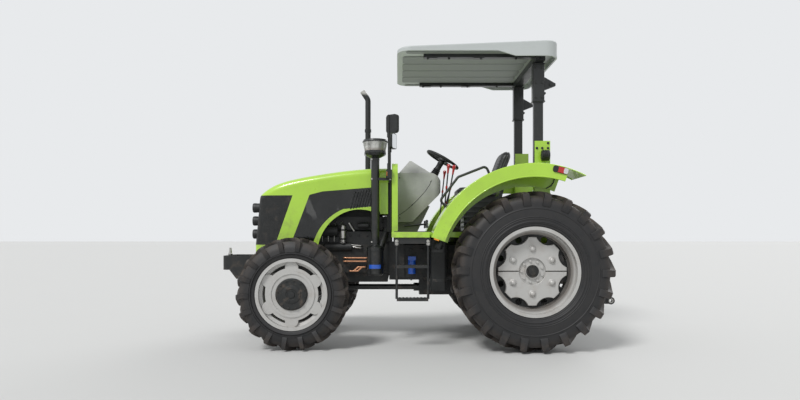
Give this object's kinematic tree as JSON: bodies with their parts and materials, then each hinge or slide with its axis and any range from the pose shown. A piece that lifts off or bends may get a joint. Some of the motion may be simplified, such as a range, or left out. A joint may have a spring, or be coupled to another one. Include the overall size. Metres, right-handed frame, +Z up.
{
  "type": "farm tractor",
  "caption": "Four-wheel-drive farm tractor with lime-green hood and fenders, roll bar with canopy, lugged tyres and rear three-point linkage.",
  "frame": {"origin": "on the ground, at the middle of the overall length and width", "axes": "+X forward, +Y to the driver's left, +Z up"},
  "size_m": [3.8399, 1.825, 2.8551],
  "materials": {
    "tyre": "matt ribbed rubber, dusty on the lugs",
    "wheel_silver": "satin warm silver paint",
    "cast_black": "rough black paint on castings",
    "black_paint": "semi-gloss black paint",
    "bare_steel": "plated steel",
    "filter_blue": "gloss blue paint",
    "clear_plastic": "clear moulded bowl",
    "green_paint": "gloss lime-green paint",
    "console_plastic": "matt warm grey moulding",
    "black_plastic": "matt black moulding",
    "seat_vinyl": "black seat vinyl",
    "lamp_red": "red and amber lenses",
    "lamp_clear": "dark lamp units with clear lenses",
    "canopy_plastic": "pale grey moulded roof"
  },
  "bodies": {
    "chassis": {"front_axle_beam": "cast_black", "front_frame": "cast_black", "front_weight_bracket": "cast_black", "engine": "cast_black", "transmission": "cast_black", "rear_axle": "cast_black", "radiator": "black_paint", "drive_shaft": "black_paint", "drawbar": "black_paint", "air_intake": "black_paint", "exhaust_stack": "black_paint", "seat_base": "black_paint", "controls": "black_paint", "grab_rails": "black_paint", "rops_frame": "black_paint", "steps": "black_paint", "hydraulic_pipes": "bare_steel", "filters": "filter_blue", "precleaner_bowl": "clear_plastic", "platform": "green_paint", "cowl": "green_paint", "fender_left": "green_paint", "fender_right": "green_paint", "rops_brackets": "green_paint", "console": "console_plastic", "mirrors": "black_plastic", "fuel_tanks": "black_plastic", "work_lamps": "black_plastic", "seat_cushion": "seat_vinyl", "seat_backrest": "seat_vinyl", "signal_lamps": "lamp_red", "canopy": "canopy_plastic"},
    "hood": {"hood_shell": "green_paint", "hood_panels": "black_plastic", "grille": "black_plastic", "headlamps": "lamp_clear"},
    "knuckle_left": {"knuckle_left": "cast_black"},
    "knuckle_right": {"knuckle_right": "cast_black"},
    "tie_rod": {"tie_rod": "cast_black"},
    "steering_rod": {"steering_rod": "bare_steel"},
    "steering_wheel": {"steering_wheel": "black_plastic"},
    "lift_arms": {"lift_arms": "black_paint"},
    "lower_links": {"lower_links": "black_paint"},
    "lift_rods": {"lift_rods": "black_paint"},
    "top_link": {"top_link": "black_paint"},
    "rear_wheel_left": {"rear_tyre_left": "tyre", "rear_rim_left": "wheel_silver", "rear_ballast_left": "wheel_silver"},
    "front_wheel_left": {"front_tyre_left": "tyre", "front_rim_left": "wheel_silver", "front_hub_left": "cast_black"},
    "rear_wheel_right": {"rear_tyre_right": "tyre", "rear_rim_right": "wheel_silver", "rear_ballast_right": "wheel_silver"},
    "front_wheel_right": {"front_tyre_right": "tyre", "front_rim_right": "wheel_silver", "front_hub_right": "cast_black"}
  },
  "joints": [
    {"name": "rear_left_spin", "type": "hinge", "parent": "chassis", "child": "rear_wheel_left", "pos_m": [-1.05, 0.72, 0.725], "axis": [0, 1, 0], "continuous": true},
    {"name": "steer_left", "type": "hinge", "parent": "chassis", "child": "knuckle_left", "pos_m": [1.125, 0.53, 0.515], "axis": [0, 0, 1], "range_deg": [-40, 40]},
    {"name": "front_left_spin", "type": "hinge", "parent": "knuckle_left", "child": "front_wheel_left", "pos_m": [1.125, 0.675, 0.515], "axis": [0, 1, 0], "continuous": true},
    {"name": "rear_right_spin", "type": "hinge", "parent": "chassis", "child": "rear_wheel_right", "pos_m": [-1.05, -0.72, 0.725], "axis": [0, 1, 0], "continuous": true},
    {"name": "steer_right", "type": "hinge", "parent": "chassis", "child": "knuckle_right", "pos_m": [1.125, -0.53, 0.515], "axis": [0, 0, 1], "range_deg": [-40, 40]},
    {"name": "front_right_spin", "type": "hinge", "parent": "knuckle_right", "child": "front_wheel_right", "pos_m": [1.125, -0.675, 0.515], "axis": [0, 1, 0], "continuous": true},
    {"name": "tie_rod_pivot", "type": "hinge", "parent": "knuckle_left", "child": "tie_rod", "pos_m": [0.975, 0.53, 0.4044], "axis": [0, 0, 1], "range_deg": [-40, 40]},
    {"name": "steering_rod_slide", "type": "slide", "parent": "chassis", "child": "steering_rod", "axis": [0, 1, 0], "range_m": [-0.0965, 0.0965]},
    {"name": "steering_wheel_turn", "type": "hinge", "parent": "chassis", "child": "steering_wheel", "pos_m": [-0.3, 0, 1.826], "axis": [-0.5, 0, 0.866], "continuous": true},
    {"name": "hood_hinge", "type": "hinge", "parent": "chassis", "child": "hood", "pos_m": [0.259, 0, 1.676], "axis": [0, -1, 0], "range_deg": [0, 50]},
    {"name": "lift", "type": "hinge", "parent": "chassis", "child": "lift_arms", "pos_m": [-1.23, 0, 1.1], "axis": [0, 1, 0], "range_deg": [-20, 35]},
    {"name": "lower_link_pivot", "type": "hinge", "parent": "chassis", "child": "lower_links", "pos_m": [-1.11, 0, 0.42], "axis": [0, 1, 0], "range_deg": [-20, 35]},
    {"name": "lift_rod_pivot", "type": "hinge", "parent": "lift_arms", "child": "lift_rods", "pos_m": [-1.58, 0, 1.1], "axis": [0, 1, 0], "range_deg": [-35, 20]},
    {"name": "top_link_pivot", "type": "hinge", "parent": "chassis", "child": "top_link", "pos_m": [-1.342, 0, 0.9], "axis": [0, -1, 0], "range_deg": [0, 85]}
  ],
  "couplings": [
    {"joint": "steer_right", "follows": "steer_left", "ratio": 1},
    {"joint": "tie_rod_pivot", "follows": "steer_left", "ratio": -1},
    {"joint": "steering_rod_slide", "follows": "steer_left", "m_per_rad": 0.138},
    {"joint": "lower_link_pivot", "follows": "lift", "ratio": 1},
    {"joint": "lift_rod_pivot", "follows": "lift", "ratio": -1}
  ]
}
